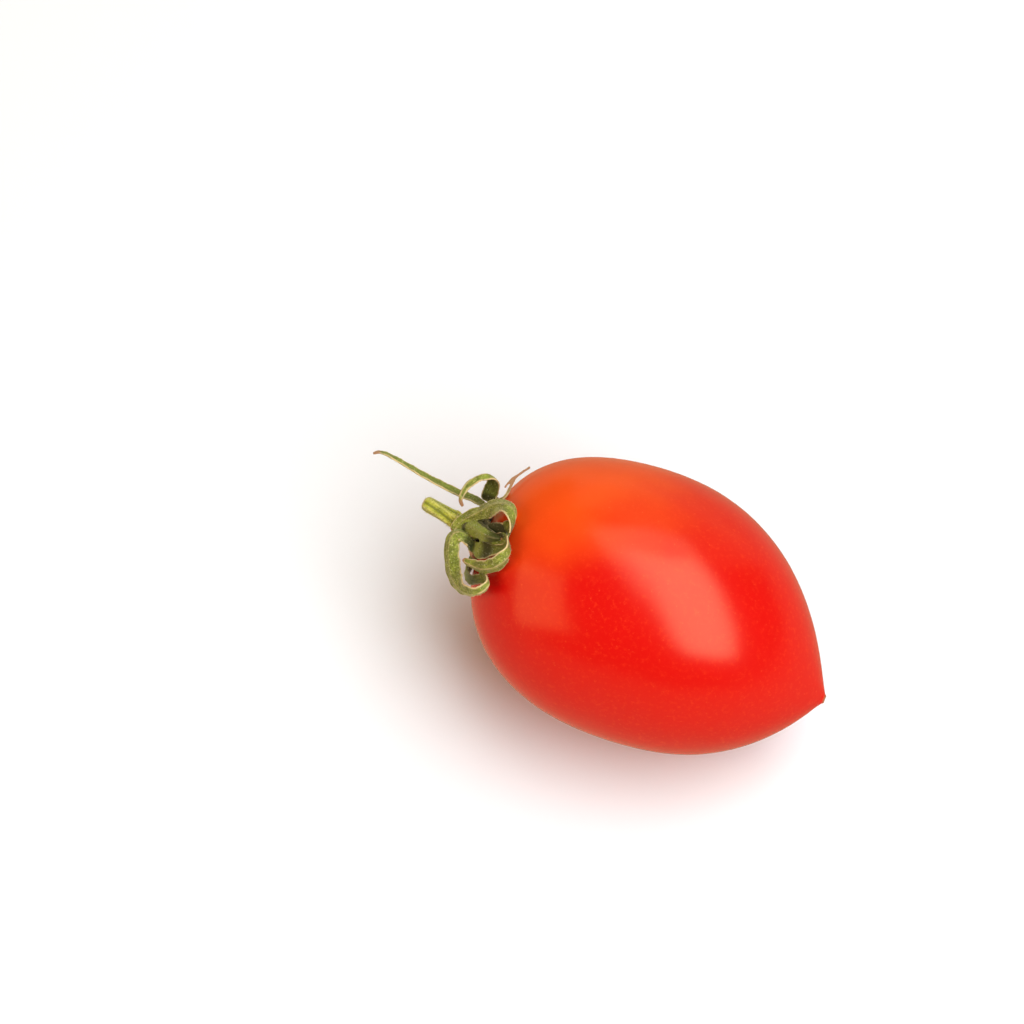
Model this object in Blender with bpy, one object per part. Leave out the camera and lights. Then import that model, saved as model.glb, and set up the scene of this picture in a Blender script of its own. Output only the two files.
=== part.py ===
"""A plum tomato lying on its side, with its star of curled sepals and its short cut stalk.

Metres, +Z up. The origin is the middle of the small flat spot that the fruit rests on. The long
axis of the fruit lies in the XZ plane, stalk end towards -X, pointed end towards +X and a little
lower, and -Y is the front.
"""
import math

import bmesh
import bpy
from mathutils import Matrix, Vector

MM = 0.001
CURVE_STEPS = 120           # points along each half of the fruit's outline
ROUTE_STEPS = 12            # points between two given places of a route
PROBE = 0.2                 # how far apart the skin is felt for its slope

# Fruit: real sizes in millimetres
FRUIT_LENGTH = 68.6
FRUIT_RADIUS = 25.0
WIDEST_AT = 30.0            # station of the widest section, from the stalk end
STALK_END_FULLNESS = 18.5   # how squarely the stalk end swells
STALK_SHOULDER = 15.0
POINT_SHOULDER = 27.3       # how far the full width carries towards the point
POINT_TAPER = 6.5
POINT_CONE = 55.0           # degrees between the axis and the skin at the point
POINT_NOSE = 1.6            # radius of the blunt point
DIMPLE_DEPTH = 2.8
DIMPLE_WIDTH = 4.2
LOBES = 4                   # faint lengthwise swellings over the seed chambers
LOBE_SHARE = 0.012          # of the radius, at the stalk end
LOBE_TURN = 0.5
POINT_SWAY = 4.1            # the point leans to the front
STALK_SWAY_UP = 2.0         # and the stalk end bends up and a little back
STALK_SWAY_BACK = 0.8
SCAR_RADIUS = 0.7           # dry scar of the flower at the point
SCAR_RISE = 0.18
SCAR_BEVEL = 0.1            # between the foot of the scar and its face
SCAR_FOOT = 0.15            # how far behind the point its foot starts
SKIN_STEP = 2.0             # spacing of the rings of faces
SKIN_SIDES = 56

# Resting pose: the tilt of the axis, and where the stalk end stands
TILT = 6.0                  # degrees, point down
STALK_END_X = -32.9
STALK_END_Z = 27.6
SPOT_SNAP = 0.05            # skin this close to the floor is pressed flat onto it

# Calyx
SKIN_GAP = 0.45             # between the fruit and the calyx
BLADE = 0.7                 # thickness of the hub and the sepals
HUB_RADIUS = 6.2            # of the web between the sepals
HUB_POINTS = 1.8            # how much further the web reaches along a sepal
HUB_POINT_SPREAD = 20.0     # degrees
HUB_RINGS = 5
HUB_SIDES = 64
SEPAL_START = 3.4           # radius inside the hub where a sepal starts
SEPAL_HUG_STEP = 2.3        # spacing of its stations while it lies on the skin
SEPAL_HEIGHT = 1.05         # of its middle line above the skin at the hub
SEPAL_LIFT = 0.025          # it rises by this share of the radius further out
SEPAL_STEP = 1.0
SEPAL_TIP = 0.7             # width at the tip
SEPAL_CREASE = 0.3          # depth of the fold along the midrib

# Stalk
STALK_SEAT = 1.3            # between the hub and the stalk
STALK_SIDES = 20
STALK_STEP = 0.6
STALK_RIDGES = 5
STALK_RIDGE_SHARE = 0.045

# The curled sepals and the stalk are laid out as seen from the front and above. A place is given
# as right, up and towards the viewer, in millimetres from the stalk end.
VIEW_TURN = 21.0
VIEW_RISE = 60.0

# Each sepal: the angles, from the top to the front, at which it leaves the hub and lifts off the
# skin; the radius up to which it lies on the skin; its width at the hub and how slowly that
# narrows; and its free route, each place with the direction that the blade's upper face looks in.
SEPALS = {
    "long_straight": {
        "angles": (-138, -132), "reach": 6.0, "width": 3.2, "fullness": 0.6, "route": (
            ((0.6, 5.0, -5.2), (0.3, 0.8, 0.4)),
            ((-1.6, 6.6, -4.2), (0.3, 0.8, 0.5)),
            ((-4.4, 7.7, -3.6), (0.3, 0.8, 0.5)),
            ((-10.2, 10.7, -3.2), (0.3, 0.8, 0.5)),
            ((-15.8, 14.0, -3.0), (0.3, 0.8, 0.5)),
            ((-18.4, 15.2, -2.8), (0.3, 0.8, 0.5)),
            ((-19.9, 15.0, -2.4), (0.2, 0.9, 0.3)))},
    "top_ring": {
        "angles": (-92, -84), "reach": 6.6, "width": 3.6, "fullness": 0.5, "route": (
            ((2.7, 8.7, -0.7), (-0.6, 0.1, 0.8)),
            ((2.4, 10.0, 0.6), (-0.7, -0.4, 0.5)),
            ((0.4, 10.7, 1.4), (-0.1, -0.9, -0.3)),
            ((-2.0, 9.7, 1.8), (0.5, -0.7, -0.5)),
            ((-3.5, 7.9, 2.0), (0.8, -0.2, -0.5)),
            ((-3.9, 6.4, 2.0), (0.85, 0.1, -0.4)),
            ((-3.5, 5.3, 2.2), (0.7, 0.4, -0.3)))},
    "dry_tip": {
        "angles": (-44, -34), "reach": 8.5, "width": 2.0, "fullness": 0.5, "route": (
            ((3.7, 8.0, 7.4), (-0.2, 0.4, 0.9)),
            ((5.1, 10.0, 6.9), (-0.1, 0.5, 0.8)),
            ((6.9, 11.4, 5.4), (0.0, 0.6, 0.8)),
            ((8.7, 12.5, 4.4), (0.1, 0.7, 0.7)))},
    "front_arch": {
        "angles": (8, 22), "reach": 13.0, "width": 3.8, "fullness": 0.42, "route": (
            ((3.9, 0.4, 16.7), (-0.85, 0.1, 0.5)),
            ((5.0, 1.9, 18.1), (-0.95, 0.0, 0.2)),
            ((5.3, 3.7, 18.0), (-0.85, -0.4, -0.1)),
            ((4.3, 5.2, 16.2), (-0.3, -0.6, -0.75)),
            ((2.3, 5.4, 12.6), (0.0, -0.45, -0.9)),
            ((-0.2, 4.3, 9.2), (-0.1, -0.4, -0.9)),
            ((-2.2, 3.5, 7.0), (-0.1, -0.3, -0.95)),
            ((-4.0, 2.2, 5.6), (-0.2, -0.3, -0.9)),
            ((-5.3, 0.7, 5.0), (-0.3, -0.2, -0.9)))},
    "front_hook": {
        "angles": (50, 36), "reach": 13.0, "width": 3.8, "fullness": 0.45, "route": (
            ((3.7, -1.3, 17.3), (-0.85, 0.1, 0.5)),
            ((4.5, -2.5, 19.6), (-0.9, 0.3, 0.0)),
            ((3.9, -3.9, 20.2), (-0.6, 0.6, -0.5)),
            ((2.4, -5.2, 19.2), (-0.1, 0.7, -0.7)),
            ((0.3, -5.7, 16.8), (0.1, 0.6, -0.8)),
            ((-1.6, -5.1, 14.0), (0.2, 0.5, -0.85)),
            ((-3.4, -4.3, 12.2), (0.2, 0.5, -0.85)))},
    "low_ring": {
        "angles": (92, 62), "reach": 13.0, "width": 3.6, "fullness": 0.34, "route": (
            ((-0.5, -7.7, 14.4), (-0.9, 0.2, 0.4)),
            ((0.7, -7.8, 16.8), (-0.95, 0.2, 0.2)),
            ((0.9, -8.7, 18.6), (-0.9, 0.2, -0.4)),
            ((-0.3, -9.7, 18.8), (-0.5, 0.4, -0.8)),
            ((-2.1, -9.8, 16.6), (-0.1, 0.7, -0.7)),
            ((-3.8, -8.9, 13.4), (0.4, 0.5, -0.7)),
            ((-5.2, -6.8, 10.2), (0.7, 0.15, -0.7)),
            ((-5.9, -3.5, 8.4), (0.75, 0.0, -0.65)),
            ((-5.6, -0.8, 8.0), (0.7, -0.4, -0.6)),
            ((-4.4, 0.4, 8.0), (0.3, -0.8, -0.5)),
            ((-2.7, -0.4, 8.2), (-0.5, -0.8, -0.3)),
            ((-1.6, -2.1, 8.6), (-0.9, -0.2, -0.2)),
            ((-1.5, -4.1, 9.2), (-0.9, 0.3, -0.2)))},
    "hidden_short": {
        "angles": (168, 178), "reach": 9.5, "width": 3.4, "fullness": 0.5, "route": (
            ((0.2, -6.7, -10.0), (-0.9, 0.1, -0.4)),
            ((-0.3, -7.4, -12.0), (-0.8, 0.2, -0.5)))},
}

# Stalk: places along its middle line, and its radius at shares of its length
STALK_ROUTE = ((-1.2, 0.9, 0.4), (-3.4, 2.0, 0.8), (-5.6, 3.2, 1.1), (-8.0, 4.8, 1.0),
               (-10.2, 6.3, 0.6))
STALK_RADII = ((0.0, 1.2), (0.08, 1.95), (0.17, 2.6), (0.24, 2.6), (0.34, 2.0), (0.43, 1.5),
               (0.5, 1.72), (0.57, 1.5), (0.75, 1.4), (0.93, 1.5), (0.98, 1.45), (1.0, 1.2))


def bezier(p0, p1, p2, p3, steps):
    """Points of a cubic curve between p0 and p3."""
    points = []
    for i in range(steps + 1):
        t = i / steps
        a, b, c, d = (1 - t) ** 3, 3 * (1 - t) ** 2 * t, 3 * (1 - t) * t ** 2, t ** 3
        points.append(p0 * a + p1 * b + p2 * c + p3 * d)
    return points


def spaced(points, step):
    """The same line with its points an even distance apart, ends kept."""
    lengths = [0.0]
    for a, b in zip(points, points[1:]):
        lengths.append(lengths[-1] + (b - a).length)
    count = max(2, round(lengths[-1] / step))
    result, k = [], 0
    for i in range(count + 1):
        goal = lengths[-1] * i / count
        while k < len(points) - 2 and lengths[k + 1] < goal:
            k += 1
        share = (goal - lengths[k]) / max(lengths[k + 1] - lengths[k], 1e-9)
        result.append(points[k].lerp(points[k + 1], min(share, 1.0)))
    return result


def dimple(radius):
    return DIMPLE_DEPTH * math.exp(-((radius / DIMPLE_WIDTH) ** 2))


def stalk_half():
    """Half outline from the middle of the dimple to the widest section: (along, radius)."""
    curve = bezier(Vector((0, 0)), Vector((0, STALK_END_FULLNESS)),
                   Vector((WIDEST_AT - STALK_SHOULDER, FRUIT_RADIUS)),
                   Vector((WIDEST_AT, FRUIT_RADIUS)), CURVE_STEPS)
    return [Vector((p.x + dimple(p.y), p.y)) for p in curve]


def point_half():
    """Half outline from the widest section to the start of the blunt point."""
    cone = math.radians(POINT_CONE)
    end = Vector((FRUIT_LENGTH - POINT_NOSE + POINT_NOSE * math.sin(cone),
                  POINT_NOSE * math.cos(cone)))
    towards = Vector((-math.cos(cone), math.sin(cone))) * POINT_TAPER
    return bezier(Vector((WIDEST_AT, FRUIT_RADIUS)),
                  Vector((WIDEST_AT + POINT_SHOULDER, FRUIT_RADIUS)), end + towards, end,
                  CURVE_STEPS)


def fruit_outline():
    """Stations of the rings of faces, from the dimple to the scar at the point."""
    outline = spaced(stalk_half(), SKIN_STEP)[1:] + spaced(point_half(), SKIN_STEP)[1:]
    outline.append(Vector((FRUIT_LENGTH - SCAR_FOOT, SCAR_RADIUS + SCAR_BEVEL)))
    outline.append(Vector((FRUIT_LENGTH + SCAR_RISE, SCAR_RADIUS - SCAR_BEVEL)))
    return outline


def shoulder_height(radius, outline=stalk_half()):
    """How far along the axis the skin of the stalk end lies at this radius."""
    for a, b in zip(outline, outline[1:]):
        if radius <= b.y:
            return a.lerp(b, (radius - a.y) / (b.y - a.y)).x
    return outline[-1].x


def skin(along, radius, angle):
    """Point of the skin in the fruit's own frame; angle runs from the top to the front."""
    to_point = max(along - WIDEST_AT, 0.0) / (FRUIT_LENGTH - WIDEST_AT)
    to_stalk = max(WIDEST_AT - along, 0.0) / WIDEST_AT
    swell = LOBE_SHARE * (0.3 + 0.7 * to_stalk) * math.cos(LOBES * angle + LOBE_TURN)
    r = radius * (1 + swell)
    y = -r * math.sin(angle) - POINT_SWAY * to_point ** 2 + STALK_SWAY_BACK * to_stalk ** 2
    z = r * math.cos(angle) + STALK_SWAY_UP * to_stalk ** 2
    return Vector((along, y, z))


def view_axes():
    """Right, up and towards the viewer, in the fruit's own frame."""
    turn, rise = math.radians(VIEW_TURN), math.radians(VIEW_RISE)
    right = Vector((math.cos(turn), math.sin(turn), 0))
    back = Vector((math.sin(turn) * math.cos(rise), -math.cos(turn) * math.cos(rise),
                   math.sin(rise)))
    upright = Matrix.Rotation(math.radians(-TILT), 3, "Y")
    return upright @ right, upright @ back.cross(right), upright @ back


def from_view(right, up, toward):
    """A point given in the view's directions from the stalk end."""
    r, u, t = view_axes()
    return skin(0, 0, 0) + r * right + u * up + t * toward


def rings_to_mesh(bm, rings, close_start=None, close_end=None):
    """Skins a row of closed rings; an end is closed by a centre point or by one face."""
    rows = [[bm.verts.new(p) for p in ring] for ring in rings]
    count = len(rows[0])
    for a, b in zip(rows, rows[1:]):
        for i in range(count):
            j = (i + 1) % count
            bm.faces.new((a[i], a[j], b[j], b[i]))
    for row, centre, flip in ((rows[0], close_start, True), (rows[-1], close_end, False)):
        if centre is None:
            bm.faces.new(row[::-1] if flip else row)
            continue
        hub = bm.verts.new(centre)
        for i in range(count):
            j = (i + 1) % count
            bm.faces.new((row[j], row[i], hub) if flip else (row[i], row[j], hub))
    bmesh.ops.recalc_face_normals(bm, faces=bm.faces)


def new_object(name, bm, material, parent):
    """Turns a mesh in millimetres into a smooth-shaded object in metres."""
    bmesh.ops.scale(bm, vec=(MM, MM, MM), verts=bm.verts)
    mesh = bpy.data.meshes.new(name)
    bm.to_mesh(mesh)
    bm.free()
    mesh.materials.append(material)
    mesh.shade_smooth()
    piece = bpy.data.objects.new(name, mesh)
    piece.parent = parent
    bpy.context.collection.objects.link(piece)
    return piece


def new_material(name, colour, roughness):
    material = bpy.data.materials.new(name)
    material.use_nodes = True
    shader = material.node_tree.nodes["Principled BSDF"]
    shader.inputs["Base Color"].default_value = (*colour, 1)
    shader.inputs["Roughness"].default_value = roughness
    shader.inputs["Metallic"].default_value = 0
    return material


def build_fruit(parent):
    """One closed skin, turned and bent, cut flat where the fruit rests."""
    bm = bmesh.new()
    rings = []
    for station in fruit_outline():
        angles = (2 * math.pi * i / SKIN_SIDES for i in range(SKIN_SIDES))
        rings.append([skin(station.x, station.y, angle) for angle in angles])
    rings_to_mesh(bm, rings, skin(DIMPLE_DEPTH, 0, 0),
                  skin(FRUIT_LENGTH + SCAR_RISE - SCAR_BEVEL, 0, 0))
    down = Matrix.Rotation(math.radians(-TILT), 3, "Y") @ Vector((0, 0, -1))
    floor = down * STALK_END_Z
    cut = bmesh.ops.bisect_plane(bm, geom=bm.verts[:] + bm.edges[:] + bm.faces[:],
                                 dist=SPOT_SNAP, plane_co=floor, plane_no=down,
                                 clear_outer=True)["geom_cut"]
    for point in (item for item in cut if isinstance(item, bmesh.types.BMVert)):
        point.co += down * (floor - point.co).dot(down)
    rim = [item for item in cut if isinstance(item, bmesh.types.BMEdge)]
    bmesh.ops.contextual_create(bm, geom=rim)
    bmesh.ops.recalc_face_normals(bm, faces=bm.faces)
    red = new_material("tomato_skin", (0.62, 0.02, 0.012), 0.3)
    return new_object("fruit", bm, red, parent)


def above_skin(radius, angle, height):
    """A point above the skin of the stalk end, and the direction out of the skin there."""
    here = skin(shoulder_height(radius), radius, angle)
    further = skin(shoulder_height(radius + PROBE), radius + PROBE, angle)
    around = skin(shoulder_height(radius), radius, angle + PROBE / radius)
    out = (around - here).cross(further - here).normalized()
    return here + out * height, out


def catmull(points, steps):
    """A smooth line through all the points."""
    line = [points[0] * 2 - points[1]] + points + [points[-1] * 2 - points[-2]]
    result = []
    for p0, p1, p2, p3 in zip(line, line[1:], line[2:], line[3:]):
        for i in range(steps):
            t = i / steps
            result.append(p1 + (p2 - p0) * (t / 2)
                          + (p0 * 2 - p1 * 5 + p2 * 4 - p3) * (t ** 2 / 2)
                          + (p1 * 3 - p0 - p2 * 3 + p3) * (t ** 3 / 2))
    return result + [points[-1]]


def build_hub():
    """The star-edged web in the dimple that the sepals grow from."""
    bm = bmesh.new()
    angles = [2 * math.pi * i / HUB_SIDES for i in range(HUB_SIDES)]

    def reach(angle):
        gaps = (math.remainder(angle - math.radians(s["angles"][0]), 2 * math.pi)
                for s in SEPALS.values())
        nearest = math.degrees(min(abs(gap) for gap in gaps)) / HUB_POINT_SPREAD
        return HUB_RADIUS + HUB_POINTS * math.exp(-(nearest ** 2))

    shares = [(i + 1) / HUB_RINGS for i in range(HUB_RINGS)]
    rings = [[above_skin(share * reach(angle), angle, height)[0] for angle in angles]
             for row, height in ((shares, SKIN_GAP), (shares[::-1], SKIN_GAP + BLADE))
             for share in row]
    middle = skin(DIMPLE_DEPTH, 0, 0)
    out = Vector((-1, 0, 0))
    rings_to_mesh(bm, rings, middle + out * SKIN_GAP, middle + out * (SKIN_GAP + BLADE))
    return bm


def sepal_line(sepal):
    """Middle line of a sepal, and the direction its upper face looks in along it."""
    first, final = sepal["angles"]
    places, looks = [], []
    steps = round((sepal["reach"] - SEPAL_START) / SEPAL_HUG_STEP)
    for i in range(steps + 1):
        radius = SEPAL_START + (sepal["reach"] - SEPAL_START) * i / steps
        angle = math.radians(first + (final - first) * i / steps)
        place, out = above_skin(radius, angle, SEPAL_HEIGHT + SEPAL_LIFT * radius)
        places.append(place)
        looks.append(out)
    right, up, toward = view_axes()
    for place, look in sepal["route"]:
        places.append(from_view(*place))
        looks.append((right * look[0] + up * look[1] + toward * look[2]).normalized())
    rows = [Vector((*place, *look)) for place, look in zip(places, looks)]
    rows = spaced(catmull(rows, ROUTE_STEPS), SEPAL_STEP)
    return [Vector(row[:3]) for row in rows], [Vector(row[3:]) for row in rows]


def build_sepal(sepal):
    """A ribbon folded along its midrib, narrowing to its tip."""
    bm = bmesh.new()
    line, looks = sepal_line(sepal)
    last = len(line) - 1
    rings = []
    for i, (place, look) in enumerate(zip(line, looks)):
        forward = (line[min(i + 1, last)] - line[max(i - 1, 0)]).normalized()
        face = (look - forward * look.dot(forward)).normalized()
        side = forward.cross(face)
        left = 1 - i / last
        half = (SEPAL_TIP + (sepal["width"] - SEPAL_TIP) * left ** sepal["fullness"]) / 2
        crease = SEPAL_CREASE * left
        section = ((-half, BLADE / 2), (0, BLADE / 2 - crease), (half, BLADE / 2),
                   (half, -BLADE / 2), (0, -BLADE / 2 - crease), (-half, -BLADE / 2))
        rings.append([place + side * x + face * y for x, y in section])
    rings_to_mesh(bm, rings)
    return bm


def enclosed_walls(bm):
    """Points of the small shells inside a joined solid, whose hollows are to be filled."""
    left, shells = set(bm.verts), []
    while left:
        edge = [left.pop()]
        shell = list(edge)
        while edge:
            near = {e.other_vert(v) for v in edge for e in v.link_edges} & left
            left -= near
            edge = list(near)
            shell += edge
        shells.append(shell)
    shells.sort(key=len)
    return [v for shell in shells[:-1] for v in shell]


def join_solids(name, solids):
    """One closed mesh from solids that grow into each other."""
    group = bpy.data.collections.new(name + "_pieces")
    pieces = []
    for bm in solids:
        mesh = bpy.data.meshes.new(name + "_piece")
        bm.to_mesh(mesh)
        bm.free()
        pieces.append(bpy.data.objects.new(name + "_piece", mesh))
    base = pieces[0]
    bpy.context.collection.objects.link(base)
    for piece in pieces[1:]:
        group.objects.link(piece)
    union = base.modifiers.new("union", "BOOLEAN")
    union.operation = "UNION"
    union.operand_type = "COLLECTION"
    union.collection = group
    union.solver = "MANIFOLD"
    bpy.context.view_layer.update()
    shape = base.evaluated_get(bpy.context.evaluated_depsgraph_get())
    joined = bmesh.new()
    joined.from_mesh(shape.to_mesh())
    for piece in pieces:
        bpy.data.objects.remove(piece)
    bpy.data.collections.remove(group)
    bmesh.ops.delete(joined, geom=enclosed_walls(joined), context="VERTS")
    return joined


def build_calyx(parent):
    """The hub and its sepals, grown together."""
    solids = [build_hub()] + [build_sepal(sepal) for sepal in SEPALS.values()]
    green = new_material("sepal_green", (0.13, 0.2, 0.03), 0.6)
    return new_object("calyx", join_solids("calyx", solids), green, parent)


def stalk_radius(share):
    for (a, ra), (b, rb) in zip(STALK_RADII, STALK_RADII[1:]):
        if share <= b:
            t = (share - a) / (b - a)
            return ra + (rb - ra) * t * t * (3 - 2 * t)
    return STALK_RADII[-1][1]


def build_stalk(parent):
    """The stalk with its swollen foot, its joint and its cut end."""
    foot = skin(DIMPLE_DEPTH, 0, 0) - Vector((SKIN_GAP + BLADE + STALK_SEAT, 0, 0))
    places = [foot] + [from_view(*place) for place in STALK_ROUTE]
    line = spaced(catmull(places, ROUTE_STEPS), STALK_STEP)
    last = len(line) - 1
    across = Vector((0, 0, 1))
    rings = []
    for i, place in enumerate(line):
        forward = (line[min(i + 1, last)] - line[max(i - 1, 0)]).normalized()
        across = (across - forward * across.dot(forward)).normalized()
        side = forward.cross(across)
        ring = []
        for k in range(STALK_SIDES):
            angle = 2 * math.pi * k / STALK_SIDES
            r = stalk_radius(i / last) * (1 + STALK_RIDGE_SHARE * math.cos(STALK_RIDGES * angle))
            ring.append(place + across * (r * math.cos(angle)) + side * (r * math.sin(angle)))
        rings.append(ring)
    bm = bmesh.new()
    rings_to_mesh(bm, rings)
    green = new_material("stalk_green", (0.2, 0.32, 0.03), 0.5)
    return new_object("stalk", bm, green, parent)


def main():
    for item in list(bpy.data.objects):
        bpy.data.objects.remove(item)
    pose = bpy.data.objects.new("resting_pose", None)
    pose.location = (STALK_END_X * MM, 0, STALK_END_Z * MM)
    pose.rotation_euler = (0, math.radians(TILT), 0)
    bpy.context.collection.objects.link(pose)
    build_fruit(pose)
    build_calyx(pose)
    build_stalk(pose)


main()
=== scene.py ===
"""Looks of a plum tomato lying on its side: glossy red skin, a star of curled hairy sepals and a
short ribbed stalk. The forms follow the frame's fruit, calyx and stalk.

All shapes are worked out in millimetres in the fruit's own frame: X runs along the fruit from its
stalk end, -Y is the front and Z is up. A last step tilts them into the resting pose, in metres.
"""
import math
import random

import bmesh
import bpy
import numpy as np
from bpy.props import FloatProperty, FloatVectorProperty, IntProperty, PointerProperty
from mathutils import Matrix, Vector, noise
from mathutils.bvhtree import BVHTree
from mathutils.kdtree import KDTree


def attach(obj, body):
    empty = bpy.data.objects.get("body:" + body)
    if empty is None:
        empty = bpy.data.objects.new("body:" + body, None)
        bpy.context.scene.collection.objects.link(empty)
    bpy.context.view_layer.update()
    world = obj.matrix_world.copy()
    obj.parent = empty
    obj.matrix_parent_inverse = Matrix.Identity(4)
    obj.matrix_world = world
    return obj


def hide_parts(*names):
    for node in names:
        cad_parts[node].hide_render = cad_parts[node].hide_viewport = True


bl_info = {
    "name": "Plum tomato looks",
    "version": (1, 0, 0),
    "blender": (4, 5, 0),
    "location": "3D View > Sidebar > Tomato",
    "description": "Finishes a plum tomato with its skin, sepals, stalk and studio",
    "category": "Object",
}

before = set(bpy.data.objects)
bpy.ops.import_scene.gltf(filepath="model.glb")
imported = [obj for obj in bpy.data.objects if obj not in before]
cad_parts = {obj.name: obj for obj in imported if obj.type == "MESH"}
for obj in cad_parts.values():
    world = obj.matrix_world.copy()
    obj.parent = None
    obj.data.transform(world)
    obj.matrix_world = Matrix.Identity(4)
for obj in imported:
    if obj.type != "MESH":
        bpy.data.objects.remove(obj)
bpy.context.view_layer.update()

MM = 0.001
ROUTE_STEPS = 24            # points between two given places of a route
CURVE_STEPS = 240           # points along each half of the fruit's outline
PROBE = 0.2                 # how far apart the skin is felt for its slope

# Fruit outline, in millimetres
FRUIT_LENGTH = 68.6
FRUIT_RADIUS = 25.0
WIDEST_AT = 30.0            # station of the widest section, from the stalk end
STALK_END_FULLNESS = 18.5   # how squarely the stalk end swells
STALK_SHOULDER = 15.0
POINT_SHOULDER = 27.3       # how far the full width carries towards the point
POINT_TAPER = 6.5
POINT_CONE = 55.0           # degrees between the axis and the skin at the point
POINT_NOSE = 1.6            # radius of the blunt point
DIMPLE_DEPTH = 2.8
DIMPLE_WIDTH = 4.2
LOBES = 4                   # faint lengthwise swellings over the seed chambers
LOBE_SHARE = 0.012
LOBE_TURN = 0.5
LOBE_AT_POINT = 0.3         # share of a swelling's height that is left at the point
POINT_SWAY = 4.1            # the point leans to the front
STALK_SWAY_UP = 2.0         # and the stalk end bends up and a little back
STALK_SWAY_BACK = 0.8
SCAR_RADIUS = 0.65          # dry scar of the flower at the point
SCAR_RISE = 0.03
SCAR_PIT = 0.18             # depth of its dark middle
SCAR_FADE = (1.7, 1.1)      # shares of its radius between which its brown sets in
SCAR_CORE = (0.6, 0.3)      # and its dark middle
SCAR_BROWN = 0.45           # mark of the brown; the middle is marked 1
DIMPLE_TISSUE = 2.6         # radius of the pale tissue in the dimple
FURROWS = 13                # creases that run out of the dimple
FURROW_REACH = 4.5
FURROW_BAND = 0.8           # their spread about that radius, as a share of it
FURROW_WANDER = 2.5
FURROW_DEPTH = 0.22
DENT_SCALE = 0.055          # large dents to the millimetre
FINE_DENT_SCALE = 0.13
FINE_DENT_SHARE = 0.4
LIT_ORANGE_SIDE = Vector((-0.35, 0.55, 0.6))    # painted light: the side that faces this way, up and towards the back, is painted orange as if lit
LIT_ORANGE_FACING = (-0.1, 0.9)
ORANGE_END = 52.0           # station where the stalk end's orange has faded
ORANGE_AT_POINT = 0.35      # share of it that is left there

# Resting pose: the tilt of the axis, and where the stalk end stands
TILT = 6.0                  # degrees, point down
STALK_END = Vector((-32.9, 0, 27.6))

# Calyx
SKIN_GAP = 0.45             # between the fruit and the calyx
HUB_THICKNESS = 0.6
HUB_RADIUS = 6.2            # of the web between the sepals
HUB_POINTS = 1.8            # how much further the web reaches along a sepal
HUB_POINT_SPREAD = 20.0     # degrees
HUB_RINGS = 24
HUB_SIDES = 180
SEPAL_START = 3.4           # radius inside the hub where a sepal starts
SEPAL_HUG_STEP = 2.3        # spacing of its stations while it lies on the skin
SEPAL_HEIGHT = 1.05         # of its middle line above the skin at the hub
SEPAL_LIFT = 0.025          # it rises by this share of the radius further out
SEPAL_STEP = 0.25
SEPAL_MIDDLE = 0.62         # thickness over the midrib
SEPAL_RIM = 0.34            # thickness of the edge
MIDRIB_SPREAD = 0.3         # of the half width
SEPAL_ROWS = 13             # points across the blade, each side
FREE_SPAN = (0.15, 0.5)     # shares of its length between which a sepal turns free
FOLD_AT_HUB = 0.22          # height of its folded edges, as a share of the half width
FOLD_FREE = 0.24            # and how much more that is where it is free
FOLD_CURVE = 1.35
MIDRIB_DROP = 0.55          # share of the fold by which the midrib lies low
WAIST_RAMP = 0.14           # share of its length over which a waist ends
WIDTH_WAVE = 0.1            # how much the width wavers
WIDTH_WAVE_RATE = 0.55
RIPPLE = 0.07               # height of the waves of an edge
RIPPLE_RATE = 2.3
RIPPLE_SHIFT = 2.0          # between the two edges

# The curled sepals and the stalk are laid out as seen from the front and above. A place is given
# as right, up and towards the viewer, in millimetres from the stalk end.
VIEW_TURN = 21.0
VIEW_RISE = 60.0
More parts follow.
